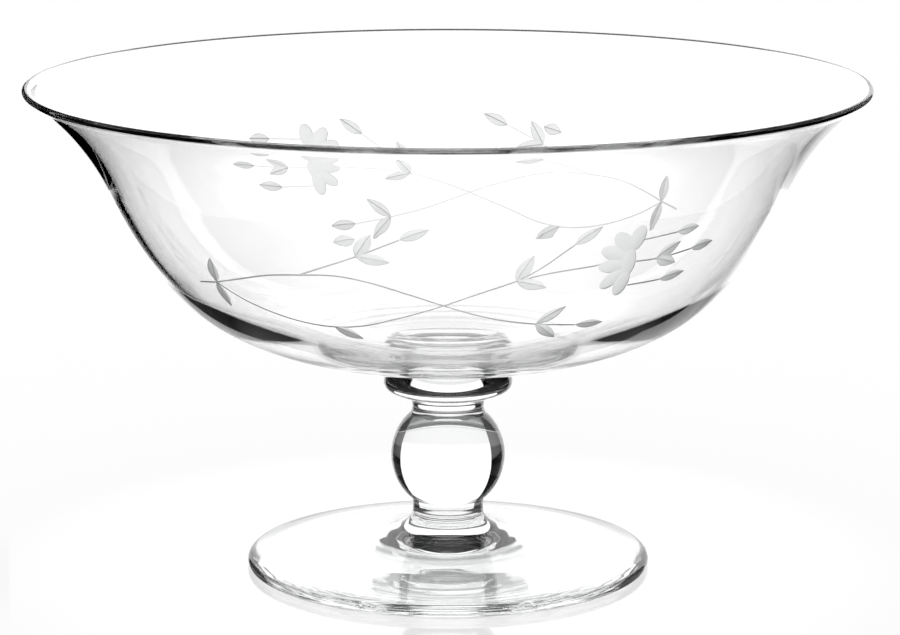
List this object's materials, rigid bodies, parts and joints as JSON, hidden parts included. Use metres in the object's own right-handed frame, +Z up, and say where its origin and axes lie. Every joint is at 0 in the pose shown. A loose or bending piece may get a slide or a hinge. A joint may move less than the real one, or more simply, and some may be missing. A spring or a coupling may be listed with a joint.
{
  "type": "footed trifle bowl",
  "caption": "Wide clear glass trifle bowl with a flared lip, standing on a merese, a short stem with a solid ball knop and a round, slightly coned foot.",
  "frame": {"origin": "middle of the foot, on the plane that the foot rests on", "axes": "+Z up the stem to the rim, which is the axis that every piece is turned about; the cut sprays face -Y and +Y"},
  "size_m": [0.28, 0.28, 0.1645],
  "materials": {
    "bowl_glass": "clear fire-polished blown glass with a wheel-cut matt spray on the front and the back",
    "stem_glass": "clear solid glass, hot worked and fire polished",
    "foot_glass": "clear spun glass with a ground and polished pontil mark below"
  },
  "bodies": {
    "root": {"bowl": "bowl_glass", "merese": "stem_glass", "upper_wafer": "stem_glass", "ball_knop": "stem_glass", "lower_wafer": "stem_glass", "foot": "foot_glass"}
  },
  "joints": []
}
